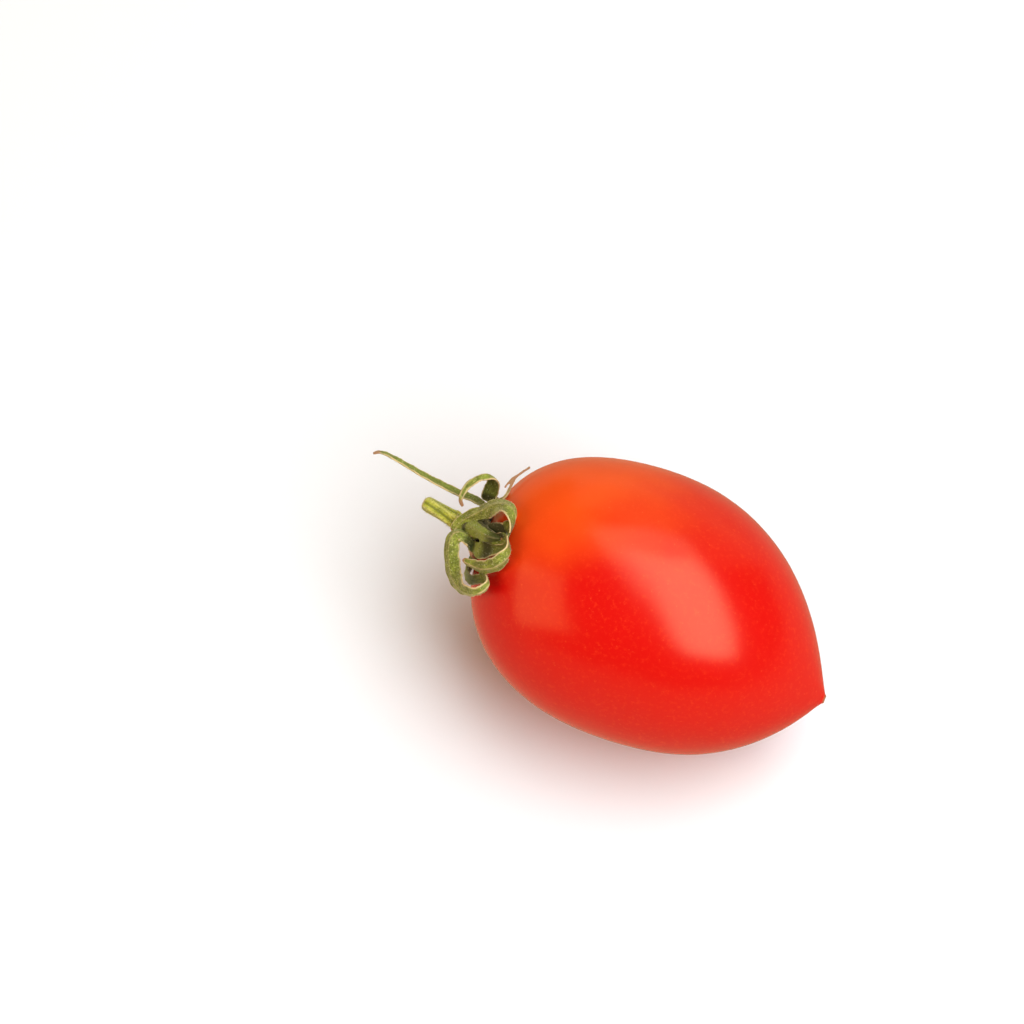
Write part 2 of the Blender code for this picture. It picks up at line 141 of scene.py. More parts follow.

# Each sepal: the angles, from the top to the front, at which it leaves the hub and lifts off the
# skin; the radius up to which it lies on the skin; its width at the hub and at the tip, and how
# slowly that narrows; and its free route, each place with the direction that the blade's upper
# face looks in. Without angles it has only its route. Some have more:
#   waist      how much narrower it is up to a share of its length
#   web        the share of its length up to which it has the web's paler green
#   fold       turns the fold over (below 0), or makes it deeper
#   dry        withered length at its tip
#   plain      the side (1 or -1) and the share of its length that have no dry edge
#   shade      shares of its length between which it is painted darker as painted shade, and by how much
#   sheltered  how much of the painted shade from its neighbours it takes
SEPALS = {
    "long_straight": {
        "angles": (-138, -132), "reach": 6.0, "width": 3.2, "tip": 0.5, "fullness": 0.6,
        "route": (
            ((0.6, 5.0, -5.2), (0.3, 0.8, 0.4)),
            ((-1.6, 6.6, -4.2), (0.3, 0.8, 0.5)),
            ((-4.4, 7.7, -3.6), (0.3, 0.8, 0.5)),
            ((-10.2, 10.7, -3.2), (0.3, 0.8, 0.5)),
            ((-15.8, 14.0, -3.0), (0.3, 0.8, 0.5)),
            ((-18.4, 15.2, -2.8), (0.3, 0.8, 0.5)),
            ((-19.9, 15.0, -2.4), (0.2, 0.9, 0.3)))},
    "top_ring": {
        "angles": (-92, -84), "reach": 5.4, "width": 4.0, "tip": 0.6, "fullness": 0.7,
        "waist": (0.0, 0.28),
        "route": (
            ((1.3, 6.9, -0.9), (-0.5, 0.0, 0.87)),
            ((1.8, 8.4, -0.6), (-0.35, 0.0, 0.93)),
            ((2.2, 9.8, 0.3), (-0.6, -0.3, 0.7)),
            ((0.5, 10.7, 1.4), (-0.1, -0.9, -0.2)),
            ((-2.0, 9.7, 1.8), (0.4, -0.7, -0.6)),
            ((-3.5, 7.9, 2.0), (0.7, -0.2, -0.65)),
            ((-3.9, 6.4, 2.0), (0.8, 0.1, -0.5)),
            ((-3.5, 5.3, 2.2), (0.7, 0.4, -0.3)))},
    "dry_tip": {
        "angles": (-40, -24), "reach": 7.0, "width": 2.0, "tip": 0.45, "fullness": 2.6,
        "dry": 17.0,
        "route": (
            ((4.1, 7.0, 8.4), (-0.3, 0.45, 0.85)),
            ((5.4, 9.3, 7.0), (-0.1, 0.5, 0.8)),
            ((6.3, 10.7, 5.9), (0.0, 0.6, 0.8)),
            ((8.7, 12.4, 4.4), (0.1, 0.7, 0.7)))},
    "dry_strand": {
        "width": 0.6, "tip": 0.35, "fullness": 1.0, "dry": 40.0,
        "route": (
            ((6.3, 10.7, 5.9), (0.0, 0.6, 0.8)),
            ((5.6, 10.3, 6.3), (0.0, 0.6, 0.8)),
            ((4.6, 9.3, 6.9), (0.0, 0.6, 0.8)),
            ((4.1, 8.6, 7.2), (0.0, 0.6, 0.8)))},
    "front_arch": {
        "angles": (8, 22), "reach": 13.0, "width": 4.6, "tip": 0.8, "fullness": 0.3,
        "waist": (0.3, 0.36), "dry": 0.8, "plain": (1, 0.45),
        "route": (
            ((3.9, 0.4, 16.7), (-0.85, 0.1, 0.5)),
            ((5.0, 1.9, 18.1), (-0.95, 0.0, 0.2)),
            ((5.3, 3.7, 18.0), (-0.8, -0.4, -0.3)),
            ((4.3, 5.1, 16.2), (-0.2, -0.45, -0.85)),
            ((2.3, 5.2, 12.6), (0.0, -0.35, -0.93)),
            ((-0.2, 4.1, 9.2), (-0.1, -0.3, -0.95)),
            ((-2.2, 3.3, 7.0), (-0.1, -0.2, -0.97)),
            ((-4.0, 2.2, 5.6), (-0.2, -0.2, -0.95)),
            ((-5.3, 0.7, 5.0), (-0.3, -0.1, -0.93)))},
    "front_hook": {
        "angles": (50, 36), "reach": 13.0, "width": 4.9, "tip": 0.4, "fullness": 0.42,
        "waist": (0.5, 0.38), "dry": 1.6, "plain": (-1, 0.54),
        "route": (
            ((3.7, -1.3, 17.3), (-0.85, 0.1, 0.5)),
            ((4.5, -2.5, 19.6), (-0.9, 0.3, 0.0)),
            ((3.9, -3.9, 20.2), (-0.5, 0.5, -0.7)),
            ((2.4, -5.1, 19.2), (-0.1, 0.4, -0.9)),
            ((0.3, -5.6, 16.8), (0.1, 0.35, -0.93)),
            ((-1.6, -5.1, 14.0), (0.15, 0.35, -0.93)),
            ((-3.4, -4.3, 12.2), (0.2, 0.4, -0.9)))},
    "front_web": {
        "width": 3.6, "tip": 0.9, "fullness": 0.35, "web": 2.0, "fold": -1.6, "dry": 0.05,
        # the web's far end is painted darker, as painted shade
        "shade": (0.62, 0.92, 0.75), "sheltered": 0.4,
        "route": (
            ((-4.4, 1.4, 4.4), (-0.5, 0.2, 0.85)),
            ((-3.2, 1.6, 6.2), (-0.55, 0.25, 0.8)),
            ((-1.7, 1.5, 8.9), (-0.6, 0.3, 0.7)),
            ((-0.5, 1.0, 11.6), (-0.65, 0.3, 0.65)),
            ((0.6, 0.3, 14.2), (-0.7, 0.25, 0.65)),
            ((2.0, -0.3, 16.0), (-0.75, 0.2, 0.62)),
            ((3.5, -0.6, 16.3), (-0.8, 0.2, 0.55)))},
    "low_ring": {
        "angles": (92, 62), "reach": 13.0, "width": 4.4, "tip": 0.8, "fullness": 0.22,
        "waist": (0.55, 0.57), "web": 0.25, "sheltered": 0.8,
        "route": (
            ((-0.5, -7.7, 14.4), (-0.9, 0.2, 0.4)),
            ((0.7, -7.8, 16.8), (-0.95, 0.2, 0.2)),
            ((0.9, -8.7, 18.6), (-0.9, 0.2, -0.4)),
            ((-0.3, -9.7, 18.8), (-0.5, 0.4, -0.8)),
            ((-2.1, -9.8, 16.6), (-0.1, 0.6, -0.8)),
            ((-3.8, -8.9, 13.4), (0.3, 0.4, -0.85)),
            ((-5.1, -6.8, 10.2), (0.5, 0.15, -0.85)),
            ((-5.6, -3.5, 8.4), (0.55, 0.0, -0.83)),
            ((-5.4, -0.8, 8.0), (0.5, -0.3, -0.8)),
            ((-4.3, 0.3, 8.0), (0.2, -0.7, -0.7)),
            ((-2.7, -0.4, 8.2), (-0.4, -0.7, -0.6)),
            ((-1.6, -2.1, 8.6), (-0.8, -0.2, -0.5)),
            ((-1.5, -4.1, 9.2), (-0.8, 0.3, -0.5)))},
    "hidden_short": {
        "angles": (168, 178), "reach": 9.5, "width": 3.4, "tip": 0.5, "fullness": 0.5,
        "route": (
            ((0.2, -6.7, -10.0), (-0.9, 0.1, -0.4)),
            ((-0.3, -7.4, -12.0), (-0.8, 0.2, -0.5)))},
}

DRY_LENGTH = 3.2            # withered length at a sepal's tip
DRY_FULL = 0.06             # share of it that is withered through
BEND_AT = 0.2               # where a sepal without a waist bends off the skin
WEB_RAMP = 0.08             # share of its length over which the web's green ends, each way
WEB_FADE = (11.0, 5.0)      # distances from the hub's middle between which it sets in
INSIDE_FACING = (-0.3, 0.6)
FIBRE_SHIFT = 60            # keeps the fibres of two sepals apart
RIM_GAIN = 5.0
SHELTER_RAYS = 24           # rays that feel how open the sky over a place between the sepals is; where it is covered, the sepal is painted darker as painted shade
SHELTER_REACH = 9.0
SHELTER_START = 0.55
SHELTER_SPREAD = 3          # stations on each side that share it
BEND_PAINTED_SHADE = 0.8          # painted shade in the hollow where a sepal bends off the skin
BEND_REACH = 0.08           # share of its length that this painted shade runs over

# Hairs
HAIR_RADIUS = 0.022
HAIR_TILT = 0.35
HAIR_ROOT = 0.03            # how deep its foot stands in the surface
HAIR_LENGTHS = (0.5, 1.2)   # shortest and longest, as shares of the given length
SEPAL_HAIRS = 2200
SEPAL_HAIR_LENGTH = 0.4
SEPAL_HAIR_SEED = 5
STALK_HAIR_SEED = 9

# Stalk: places along its middle line, and its radius at shares of its length
STALK_SEAT = 2.0            # from the hub's underside to where the stalk starts
STALK_ROUTE = ((-1.2, 0.9, 0.4), (-3.4, 2.0, 0.8), (-5.6, 3.2, 1.1), (-8.0, 4.65, 1.0),
               (-10.6, 6.15, 0.6))
STALK_RADII = ((0.0, 1.2), (0.08, 1.95), (0.17, 2.6), (0.24, 2.6), (0.34, 2.0), (0.43, 1.5),
               (0.5, 1.74), (0.57, 1.5), (0.75, 1.4), (0.9, 1.4), (0.955, 1.3), (0.985, 1.1),
               (1.0, 0.8))
STALK_SIDES = 96
STALK_STEP = 0.12
STALK_RIDGES = 5
STALK_RIDGE_SHARE = 0.075
RIDGE_SWAY = (1.2, 5)       # how far the ridges wander round the stalk, and how fast
STALK_GRAIN = 0.03
KNEE_AT = 0.5               # share of the length at the joint, which has a fine groove round it
KNEE_WIDTH = 0.014
KNEE_GROOVE = 0.12
CUT_START = 0.95            # share of the length where the stalk begins to dry
CUT_DRY = 0.45
PITH_DEPTH = 0.35           # the cut end is sunk this much inside its rim
PITH_SLOPE = (0.97, 0.6)    # shares of the radius between which it sinks

# Face of the cut end, from its rim inwards: share of the radius, and how dry it is
CUT_FACE = ((0.96, 0.3), (0.86, 0.6), (0.8, 0.62), (0.7, 0.64), (0.45, 0.8), (0.2, 1.0))

# Camera and studio
CAMERA_AZIMUTH = 20.89      # degrees
CAMERA_RISE = 60.0
CAMERA_DISTANCE = 0.75      # metres
CAMERA_AIM = Vector((-2.9, 0, 27.6))        # millimetres
CAMERA_SLIDE = (-0.02213, 0.01512)          # right and up, in metres, to place the fruit
CAMERA_LENS = 145.78        # millimetres
CAMERA_SENSOR = 36
CAMERA_NEAR = 0.01          # metres
FLOOR_RADIUS = 0.9
FLOOR_SIDES = 96

# Colours of the surroundings: below and above the horizon, and behind the floor
WORLD_BELOW = (0.62, 0.38, 0.23)
WORLD_ABOVE = (0.09, 0.08, 0.06)
WORLD_SEEN = (1.0, 1.0, 1.0)
HORIZON = (-0.02, 0.12)     # heights between which the lower colour turns into the upper one

# Lights: azimuth and rise of the middle, distance and size in metres, turn of the long side in
# degrees, share of the stage's power, and colour
LIGHTS = {
    "softbox": (82, 66, 1.1, (0.95, 2.1), 44, 0.68, (1.0, 1.0, 1.0)),
    "softbox_core": (72, 60, 1.05, (0.66, 1.3), 38, 0.41, (1.0, 1.0, 1.0)),
    "back_card": (178, 27, 1.3, (1.6, 1.15), 0, 0.13, (1.0, 0.86, 0.66)),
    "left_card": (-46, 25, 1.2, (0.82, 0.82), 45, 0.3, (1.0, 0.6, 0.32)),
}


class TomatoFruitSettings(bpy.types.PropertyGroup):
    red: FloatVectorProperty(
        name="Red", description="Colour of the ripe skin", subtype="COLOR",
        default=(0.6, 0.0045, 0.0032), min=0, max=1)
    # The orange is also painted light: it is laid on the side that faces up and back.
    orange: FloatVectorProperty(
        name="Orange", description="Colour of the less ripe shoulder", subtype="COLOR",
        default=(0.84, 0.09, 0.007), min=0, max=1)
    roughness: FloatProperty(
        name="Roughness", description="How soft the gloss is", subtype="FACTOR",
        default=0.22, min=0, max=1)
    rings: IntProperty(name="Rings", description="Rings of faces along the fruit",
                       default=170, min=20)
    sides: IntProperty(name="Sides", description="Faces round the fruit", default=220, min=16)
    unevenness: FloatProperty(
        name="Unevenness", description="Depth of the faint dents of a grown skin, in mm",
        default=0.16, min=0)


class TomatoCalyxSettings(bpy.types.PropertyGroup):
    green: FloatVectorProperty(
        name="Green", description="Colour of the blades", subtype="COLOR",
        default=(0.285, 0.345, 0.042), min=0, max=1)
    dark: FloatVectorProperty(
        name="Dark green", description="Colour in the mottled patches", subtype="COLOR",
        default=(0.13, 0.155, 0.017), min=0, max=1)
    rim: FloatVectorProperty(
        name="Rim", description="Colour of the dry edges", subtype="COLOR",
        default=(0.66, 0.52, 0.26), min=0, max=1)
    dry: FloatVectorProperty(
        name="Dry tips", description="Colour of the withered tips", subtype="COLOR",
        default=(0.36, 0.19, 0.09), min=0, max=1)
    grain: FloatProperty(
        name="Grain", description="Size of the cells that the blades are fused on, in mm",
        default=0.155, min=0.08)


class TomatoStalkSettings(bpy.types.PropertyGroup):
    green: FloatVectorProperty(
        name="Green", description="Colour of the stalk", subtype="COLOR",
        default=(0.51, 0.51, 0.055), min=0, max=1)
    pith: FloatVectorProperty(
        name="Pith", description="Colour of the cut end", subtype="COLOR",
        default=(0.55, 0.42, 0.2), min=0, max=1)
    hairs: IntProperty(name="Hairs", description="Hairs on the stalk", default=900, min=0)
    hair_length: FloatProperty(
        name="Hair length", description="Length of a hair in mm", default=0.55, min=0)


class TomatoStageSettings(bpy.types.PropertyGroup):
    floor: FloatVectorProperty(
        name="Floor", description="Colour of the floor", subtype="COLOR",
        default=(0.8, 0.84, 0.875), min=0, max=1)
    power: FloatProperty(
        name="Power", description="Power in watts that each light takes its share of",
        subtype="POWER", default=20.5, min=0)


# Shapes


def bezier(p0, p1, p2, p3, steps):
    """Points of a cubic curve between p0 and p3."""
    points = []
    for i in range(steps + 1):
        t = i / steps
        a, b, c, d = (1 - t) ** 3, 3 * (1 - t) ** 2 * t, 3 * (1 - t) * t ** 2, t ** 3
        points.append(p0 * a + p1 * b + p2 * c + p3 * d)
    return points


def spaced(points, step):
    """The same line with its points an even distance apart, ends kept."""
    lengths = [0.0]
    for a, b in zip(points, points[1:]):
        lengths.append(lengths[-1] + (b - a).length)
    count = max(2, round(lengths[-1] / step))
    result, k = [], 0
    for i in range(count + 1):
        goal = lengths[-1] * i / count
        while k < len(points) - 2 and lengths[k + 1] < goal:
            k += 1
        share = (goal - lengths[k]) / max(lengths[k + 1] - lengths[k], 1e-9)
        result.append(points[k].lerp(points[k + 1], min(share, 1.0)))
    return result


def catmull(points, steps):
    """A smooth line through all the points."""
    line = [points[0] * 2 - points[1]] + points + [points[-1] * 2 - points[-2]]
    result = []
    for p0, p1, p2, p3 in zip(line, line[1:], line[2:], line[3:]):
        for i in range(steps):
            t = i / steps
            result.append(p1 + (p2 - p0) * (t / 2)
                          + (p0 * 2 - p1 * 5 + p2 * 4 - p3) * (t ** 2 / 2)
                          + (p1 * 3 - p0 - p2 * 3 + p3) * (t ** 3 / 2))
    return result + [points[-1]]


def smoothstep(low, high, value):
    t = min(max((value - low) / (high - low), 0.0), 1.0)
    return t * t * (3 - 2 * t)


def dimple(radius):
    return DIMPLE_DEPTH * math.exp(-((radius / DIMPLE_WIDTH) ** 2))


def stalk_half():
    """Half outline from the middle of the dimple to the widest section: (along, radius)."""
    curve = bezier(Vector((0, 0)), Vector((0, STALK_END_FULLNESS)),
                   Vector((WIDEST_AT - STALK_SHOULDER, FRUIT_RADIUS)),
                   Vector((WIDEST_AT, FRUIT_RADIUS)), CURVE_STEPS)
    return [Vector((p.x + dimple(p.y), p.y)) for p in curve]


def point_half():
    """Half outline from the widest section to the start of the blunt point."""
    cone = math.radians(POINT_CONE)
    end = Vector((FRUIT_LENGTH - POINT_NOSE + POINT_NOSE * math.sin(cone),
                  POINT_NOSE * math.cos(cone)))
    towards = Vector((-math.cos(cone), math.sin(cone))) * POINT_TAPER
    return bezier(Vector((WIDEST_AT, FRUIT_RADIUS)),
                  Vector((WIDEST_AT + POINT_SHOULDER, FRUIT_RADIUS)), end + towards, end,
                  CURVE_STEPS)


def scar_outline():
    """From the nose over the raised ring of the flower's scar and down into its middle."""
    profile = ((-0.02, 1.12), (0.03, 1.0), (SCAR_RISE, 0.9), (SCAR_RISE, 0.72),
               (SCAR_RISE - SCAR_PIT * 0.6, 0.5), (SCAR_RISE - SCAR_PIT, 0.2))
    return [Vector((FRUIT_LENGTH + along, SCAR_RADIUS * share)) for along, share in profile]


def shoulder_height(radius, outline=stalk_half()):
    """How far along the axis the skin of the stalk end lies at this radius."""
    for a, b in zip(outline, outline[1:]):
        if radius <= b.y:
            return a.lerp(b, (radius - a.y) / (b.y - a.y)).x
    return outline[-1].x


def skin(along, radius, angle):
    """Point of the skin in the fruit's own frame; angle runs from the top to the front."""
    to_point = max(along - WIDEST_AT, 0.0) / (FRUIT_LENGTH - WIDEST_AT)
    to_stalk = max(WIDEST_AT - along, 0.0) / WIDEST_AT
    height = LOBE_SHARE * (LOBE_AT_POINT + (1 - LOBE_AT_POINT) * to_stalk)
    swell = height * math.cos(LOBES * angle + LOBE_TURN)
    r = radius * (1 + swell)
    y = -r * math.sin(angle) - POINT_SWAY * to_point ** 2 + STALK_SWAY_BACK * to_stalk ** 2
    z = r * math.cos(angle) + STALK_SWAY_UP * to_stalk ** 2
    return Vector((along, y, z))


def dimple_floor():
    return skin(DIMPLE_DEPTH, 0, 0)


def above_skin(radius, angle, height):
    """A point above the skin of the stalk end, and the direction out of the skin there."""
    here = skin(shoulder_height(radius), radius, angle)
    further = skin(shoulder_height(radius + PROBE), radius + PROBE, angle)
    around = skin(shoulder_height(radius), radius, angle + PROBE / radius)
    out = (around - here).cross(further - here).normalized()
    return here + out * height, out


def looking(azimuth, rise):
    """Right, up and back for someone who looks down at the fruit."""
    turn, rise = math.radians(azimuth), math.radians(rise)
    right = Vector((math.cos(turn), math.sin(turn), 0))
    back = Vector((math.sin(turn) * math.cos(rise), -math.cos(turn) * math.cos(rise),
                   math.sin(rise)))
    return right, back.cross(right), back


def view_axes():
    """Right, up and towards the viewer, in the fruit's own frame."""
    upright = Matrix.Rotation(math.radians(-TILT), 3, "Y")
    return [upright @ axis for axis in looking(VIEW_TURN, VIEW_RISE)]


def from_view(right, up, toward):
    """A point given in the view's directions from the stalk end."""
    r, u, t = view_axes()
    return skin(0, 0, 0) + r * right + u * up + t * toward


def resting_pose():
    """From the fruit's own frame in millimetres to the resting pose in metres."""
    return (Matrix.Scale(MM, 4) @ Matrix.Translation(STALK_END)
            @ Matrix.Rotation(math.radians(TILT), 4, "Y"))


def rings_to_mesh(bm, rings, close_start=None, close_end=None):
    """Skins a row of closed rings; an end is closed by a centre point or by one face."""
    rows = [[bm.verts.new(p) for p in ring] for ring in rings]
    count = len(rows[0])
    for a, b in zip(rows, rows[1:]):
        for i in range(count):
            j = (i + 1) % count
            bm.faces.new((a[i], a[j], b[j], b[i]))
    for row, centre, flip in ((rows[0], close_start, True), (rows[-1], close_end, False)):
        if centre is None:
            bm.faces.new(row[::-1] if flip else row)
            continue
        hub = bm.verts.new(centre)
        for i in range(count):
            j = (i + 1) % count
            bm.faces.new((row[j], row[i], hub) if flip else (row[i], row[j], hub))
    bmesh.ops.recalc_face_normals(bm, faces=bm.faces)


def new_object(name, data):
    holder = bpy.data.objects.new(name, data)
    bpy.context.scene.collection.objects.link(holder)
    return holder


def new_piece(name, mesh, material, node):
    """Puts a mesh into the resting pose as a piece that stands for a node of the frame."""
    mesh.transform(resting_pose())
    mesh.materials.append(material)
    mesh.shade_smooth()
    piece = new_object(name, mesh)
    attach(piece, "root")
    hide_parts(node)


def mesh_from(name, bm):
    mesh = bpy.data.meshes.new(name)
    bm.to_mesh(mesh)
    bm.free()
    return mesh


def set_attributes(mesh, **numbers):
    """Stores one number of each name for each point, for the materials to read."""
    for name, values in numbers.items():
        layer = mesh.attributes.new(name, "FLOAT", "POINT")
        layer.data.foreach_set("value", np.asarray(values, dtype=np.float32))


# Materials


class Socket:
    """A value among the nodes. Arithmetic on it adds Math nodes."""

    def __init__(self, nodes, link):
        self.nodes, self.link = nodes, link

    def math(self, operation, *others):
        node = self.nodes.node("ShaderNodeMath", {"operation": operation},
                               dict(enumerate((self, *others))))
        return node["Value"]

    def __add__(self, other):
        return self.math("ADD", other)

    def __sub__(self, other):
        return self.math("SUBTRACT", other)

    def __rsub__(self, other):
        return Socket.math(self * -1, "ADD", other)

    def __mul__(self, other):
        return self.math("MULTIPLY", other)

    __radd__ = __add__
    __rmul__ = __mul__

    def clamped(self):
        return self.math("MINIMUM", 1.0).math("MAXIMUM", 0.0)

    def between(self, low, high):
        """0 below low, 1 above high, and smooth in between."""
        node = self.nodes.node("ShaderNodeMapRange", {"interpolation_type": "SMOOTHSTEP"},
                               {"Value": self, "From Min": low, "From Max": high})
        return node["Result"]


class Node:
    """A node whose outputs are read by name."""

    def __init__(self, nodes, node):
        self.nodes, self.node = nodes, node

    def __getitem__(self, name):
        return Socket(self.nodes, self.node.outputs[name])


class Nodes:
    """Adds nodes to a tree."""

    def __init__(self, tree):
        self.tree = tree

    def node(self, kind, settings=None, values=None):
        """Adds a node: its settings first, then the values or links of its sockets."""
        node = self.tree.nodes.new(kind)
        for key, value in (settings or {}).items():
            setattr(node, key, value)
        for key, value in (values or {}).items():
            self.feed(node.inputs[key], value)
        return Node(self, node)

    def feed(self, socket, value):
        if isinstance(value, Socket):
            self.tree.links.new(value.link, socket)
        elif socket.type == "RGBA":
            socket.default_value = (*value, 1)
        else:
            socket.default_value = value

    def mix(self, share, first, second):
        """A colour between two others."""
        node = self.node("ShaderNodeMix", {"data_type": "RGBA"},
                         {0: share, 6: first, 7: second})
        return Socket(self, node.node.outputs[2])


class Shader(Nodes):
    """Builds one material's nodes."""

    def __init__(self, name, **constants):
        self.material = bpy.data.materials.new(name)
        self.material.use_nodes = True
        super().__init__(self.material.node_tree)
        self.surface = self.tree.nodes["Principled BSDF"]
        for socket, value in constants.items():
            self.surface.inputs[socket.replace("_", " ")].default_value = value

    def attribute(self, name):
        return self.node("ShaderNodeAttribute", {"attribute_name": name})["Fac"]

    def places(self):
        """Places on the object in millimetres."""
        place = self.node("ShaderNodeTexCoord")["Object"]
        return self.node("ShaderNodeVectorMath", {"operation": "SCALE"},
                         {0: place, "Scale": 1 / MM})["Vector"]

    def noise(self, places, scale, detail=3.0, roughness=0.55):
        return self.node("ShaderNodeTexNoise", {}, {
            "Vector": places, "Scale": scale, "Detail": detail, "Roughness": roughness})["Fac"]

    def spots(self, places, scale):
        """Distance to the nearest of scattered points."""
        return self.node("ShaderNodeTexVoronoi", {}, {
            "Vector": places, "Scale": scale})["Distance"]

    def flecks(self, places, scale, edge, fine, where):
        """Small round flecks, only where the fine noise is high."""
        return (1 - self.spots(places, scale).between(*edge)) * fine.between(*where)

    def fibres(self, across, along, scale):
        """Lengthwise lines."""
        places = self.node("ShaderNodeCombineXYZ", {}, {"X": across, "Y": along})["Vector"]
        return self.noise(places, scale, 3.0, 0.6)

    def bump(self, height, strength, distance):
        """Tilts the surface's normal by a height that is given in millimetres."""
        normal = self.node("ShaderNodeBump", {}, {
            "Height": height, "Strength": strength, "Distance": distance * MM})["Normal"]
        self.feed(self.surface.inputs["Normal"], normal)

    def finish(self, colour, roughness):
        self.feed(self.surface.inputs["Base Color"], colour)
        self.feed(self.surface.inputs["Roughness"], roughness)
        return self.material


SKIN_GRAIN = (0.95, 0.09, 0.02)
SKIN_FLECK = (0.95, 0.3, 0.1)
DIMPLE_PALE = (0.5, 0.26, 0.03)
SCAR_DRY = (0.3, 0.12, 0.04)
SCAR_DARK = (0.035, 0.014, 0.008)
WEB_GREEN = (0.35, 0.46, 0.028)
FIBRE_PALE = (0.44, 0.45, 0.12)
BLADE_FLECK = (0.62, 0.6, 0.26)
BLADE_SPECK = (0.07, 0.08, 0.012)
BLADE_INSIDE = (0.1, 0.12, 0.012)
BLADE_SHADE = (0.012, 0.012, 0.002)
STALK_DARK = (0.28, 0.31, 0.025)
STALK_FURROW = (0.09, 0.11, 0.01)
STALK_RIDGE = (0.6, 0.56, 0.16)
STALK_SPECK = (0.12, 0.13, 0.014)
STALK_FLECK = (0.62, 0.6, 0.22)
KNEE_BROWN = (0.34, 0.25, 0.05)
PITH_DRY = (0.2, 0.11, 0.04)
HAIR_GREEN = (0.5, 0.56, 0.3)
HAIR_PALE = (0.75, 0.75, 0.58)


def skin_material(settings):
    """Ripe skin: red, and orange on the side that faces up and back, which is painted light,
    strongest towards the less ripe stalk end; fine pale flecks and a soft waxy gloss.
    """
    s = Shader("tomato_skin", IOR=1.45, Subsurface_Weight=0.08, Subsurface_Scale=0.003,
               Subsurface_Radius=(1.0, 0.2, 0.08), Specular_Tint=(1.0, 0.82, 0.5, 1.0))
    at = s.places()
    ripe, orange = tuple(settings.red), tuple(settings.orange)
    cloud = s.noise(at, 0.06, 2.0)
    fine = s.noise(at, 1.3, 4.0, 0.65)
    # Orange as painted light on the side that faces up and back, and as less ripe colour towards
    # the stalk end
    shoulder = s.attribute("shoulder")
    unripe_and_lit = (shoulder + (cloud - 0.5) * 0.5).between(0.25, 1.0)
    colour = s.mix(unripe_and_lit, ripe, orange)
    colour = s.mix((fine - 0.5).between(-0.02, 0.3) * 0.2, colour, SKIN_GRAIN)
    flecks = s.flecks(at, 1.1, (0.05, 0.2), fine, (0.45, 0.6))
    colour = s.mix(flecks * 0.09, colour, SKIN_FLECK)
    colour = s.mix(s.attribute("dimple") * 0.75, colour, DIMPLE_PALE)
    scar = s.attribute("scar")
    colour = s.mix(scar.between(0.1, 0.42), colour, SCAR_DRY)
    colour = s.mix(scar.between(0.55, 0.9), colour, SCAR_DARK)
    rough = settings.roughness + (fine - 0.5) * 0.08 + scar.between(0.05, 0.3) * 0.45
    pores = s.spots(at, 2.6).between(0.0, 0.5)
    s.bump(pores * 0.4 + fine + s.noise(at, 0.35, 2.0) * 2.0, 0.04, 0.1)
    return s.finish(colour, rough)


def downy_shader(name):
    """Soft down, and the places, clouds and fine mottling that sepals and stalk share."""
    s = Shader(name, IOR=1.36, Sheen_Weight=0.3, Sheen_Roughness=0.35,
               Sheen_Tint=(1.0, 0.9, 0.55, 1.0))
    at = s.places()
    return s, at, s.noise(at, 0.5, 3.0), s.noise(at, 2.6, 4.0, 0.75)


def blade_material(settings):
    """Hairy green blade with darker mottling, fine flecks, pale dry edges, brown tips and painted
    shade where it is covered.
    """
    s, at, cloud, fine = downy_shader("sepal_blade")
    rim, tip, base = s.attribute("rim"), s.attribute("tip"), s.attribute("base")
    fibres = s.fibres(s.attribute("across") * 2.2, s.attribute("along") * 0.35, 1.6)
    colour = s.mix((cloud * 0.7 + fibres * 0.6 + fine * 0.5).between(0.7, 1.1),
                   tuple(settings.dark), tuple(settings.green))
    colour = s.mix(base * 0.6, colour, WEB_GREEN)
    colour = s.mix(fibres.between(0.52, 0.66) * 0.5, colour, FIBRE_PALE)
    flecks = s.flecks(at, 2.1, (0.12, 0.34), fine, (0.4, 0.55))
    colour = s.mix(flecks * 0.75, colour, BLADE_FLECK)
    colour = s.mix(fine.between(0.53, 0.33) * 0.75, colour, BLADE_SPECK)
    colour = s.mix(s.attribute("inside") * 0.35, colour, BLADE_INSIDE)
    # Painted shade: near black where the blade is covered by the fruit or other sepals, in the
    # hollow of its bend, and along the stretch that a sepal's shade key gives
    colour = s.mix(s.attribute("shelter").between(0.3, 0.85) * 0.9, colour, BLADE_SHADE)
    colour = s.mix(rim.between(0.12, 0.5) * (fine + 0.4).clamped() * (1 - base * 0.85),
                   colour, tuple(settings.rim))
    colour = s.mix((tip + (cloud - 0.5) * 0.5).between(0.45, 0.85), colour,
                   tuple(settings.dry))
    s.bump(fibres * 0.8 + fine * 0.6 + s.spots(at, 3.0).between(0.0, 0.45) * 0.4, 0.6, 0.14)
    return s.finish(colour, 0.62 + (fine - 0.5) * 0.15)


